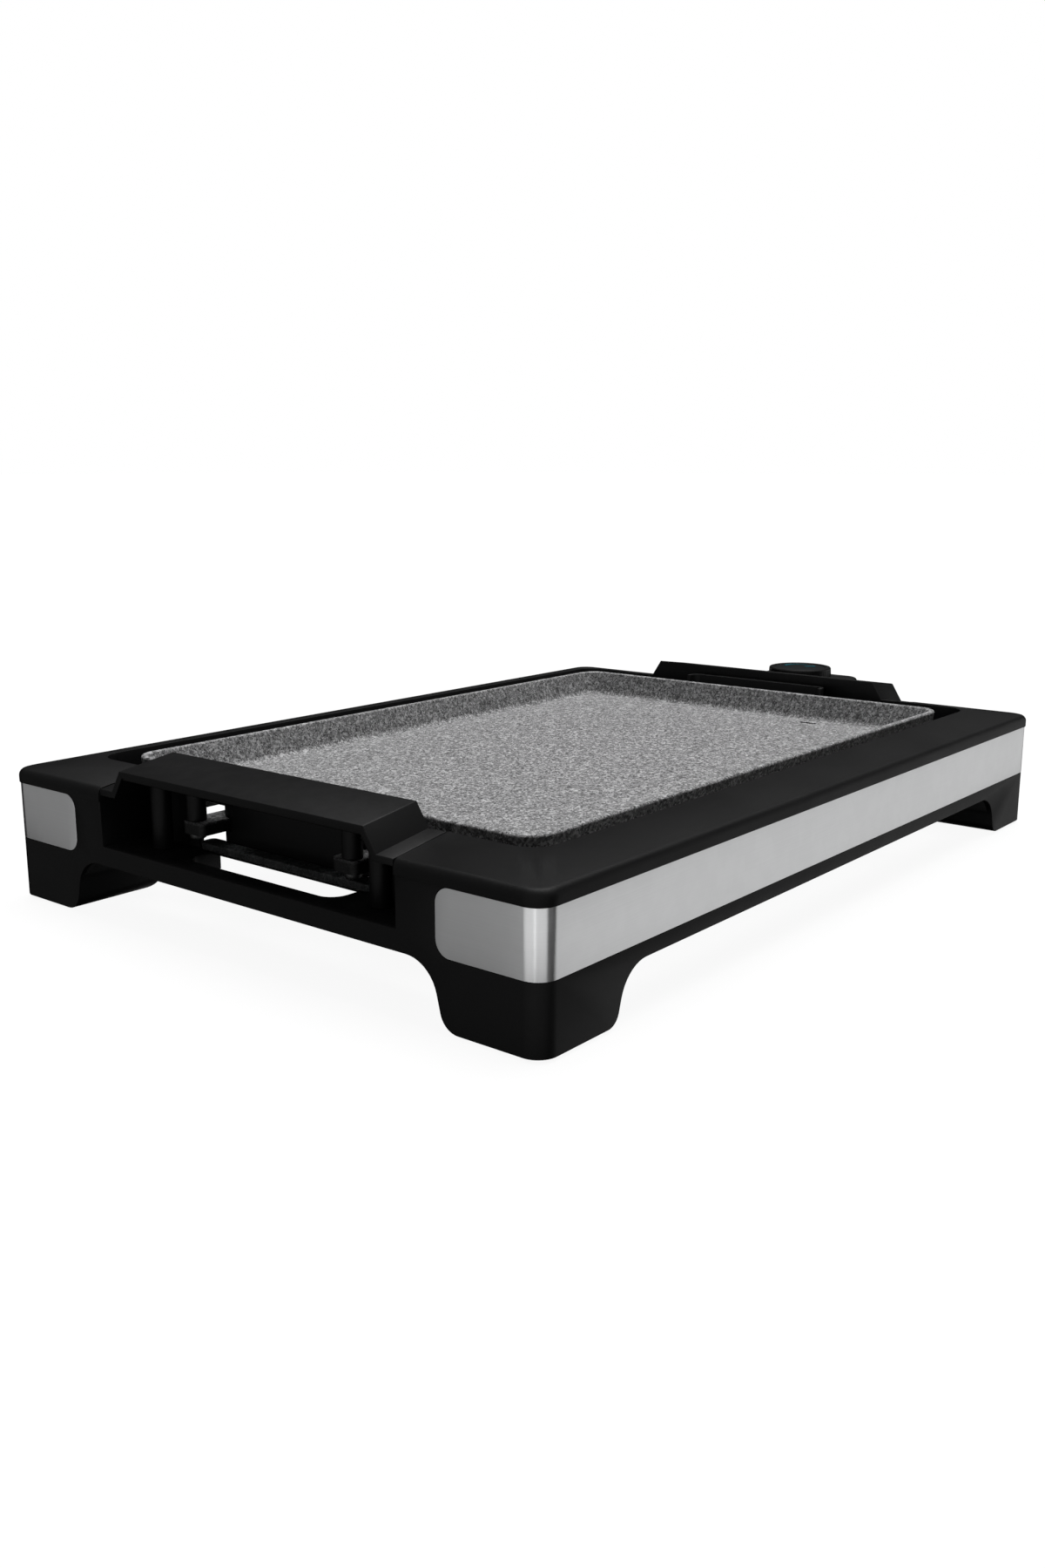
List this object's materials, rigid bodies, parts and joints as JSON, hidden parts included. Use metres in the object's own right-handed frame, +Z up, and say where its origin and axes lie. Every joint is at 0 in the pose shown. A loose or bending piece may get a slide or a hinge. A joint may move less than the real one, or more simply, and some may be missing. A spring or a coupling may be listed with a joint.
{
  "type": "electric griddle",
  "caption": "Table-top electric griddle: a stone-coated tray plate with bridge handles, a legged base with steel side bands, a plug-in dial thermostat and a slide-out drip tray.",
  "frame": {"origin": "centre of the bounding box in plan, at the plane the rubber feet stand on", "axes": "+X along the length towards the thermostat, +Y across to the rear long side, +Z up"},
  "size_m": [0.5154, 0.3312, 0.0792],
  "materials": {
    "black_plastic": "fine moulded satin black",
    "tray_plastic": "smooth moulded black",
    "knob_plastic": "satin black",
    "brushed_band": "satin, brushed along its length",
    "foot_rubber": "matt rubber",
    "stone_coating": "speckled grey non-stick stone-look coating on cast aluminium",
    "element_steel": "drawn tube, dulled by heat",
    "reflector_sheet": "plain bright sheet",
    "screw_steel": "zinc plated",
    "contact_brass": "bright contact metal",
    "ceramic": "unglazed steatite",
    "lamp_glass": "small neon lamp",
    "lens": "clear red lens",
    "gland_rubber": "soft bush",
    "knob_inlay": "smooth dark inlay",
    "pointer_mark": "teal mark"
  },
  "bodies": {
    "base": {"base_frame": "black_plastic", "front_band": "brushed_band", "rear_band": "brushed_band", "rubber_feet": "foot_rubber", "foot_screws": "screw_steel", "tray_rails": "black_plastic"},
    "tray": {"drip_tray": "tray_plastic"},
    "plate": {"griddle_plate": "stone_coating", "heating_element": "element_steel", "pin_beads": "ceramic", "terminal_pins": "contact_brass", "sensor_sleeve": "element_steel", "heat_reflector": "reflector_sheet", "reflector_screws": "screw_steel", "near_handle": "black_plastic", "far_handle": "black_plastic", "near_handle_screws": "screw_steel", "far_handle_screws": "screw_steel", "near_shroud": "black_plastic", "terminal_shroud": "black_plastic", "grip_bar": "stone_coating"},
    "thermostat": {"thermostat_lower_shell": "black_plastic", "thermostat_upper_shell": "black_plastic", "thermostat_screws": "screw_steel", "pilot_lens": "lens", "pilot_lamp": "lamp_glass", "sensor_rod": "element_steel", "contact_sockets": "contact_brass", "switch_block": "ceramic", "contact_blades": "contact_brass", "bimetal_strip": "contact_brass", "cord_gland": "gland_rubber"},
    "knob": {"control_knob": "knob_plastic", "knob_cap": "knob_inlay", "knob_pointer": "pointer_mark", "dial_shaft": "screw_steel"}
  },
  "joints": [
    {"name": "plate_lift", "type": "slide", "parent": "base", "child": "plate", "axis": [0, 0, 1], "range_m": [0, 0.12]},
    {"name": "thermostat_unplug", "type": "slide", "parent": "plate", "child": "thermostat", "axis": [1, 0, 0], "range_m": [0, 0.085]},
    {"name": "knob_turn", "type": "hinge", "parent": "thermostat", "child": "knob", "pos_m": [0.23117, 0, 0.0715], "axis": [0, 0, -1], "range_deg": [0, 270]},
    {"name": "tray_slide", "type": "slide", "parent": "base", "child": "tray", "axis": [1, 0, 0], "range_m": [0, 0.1]}
  ]
}
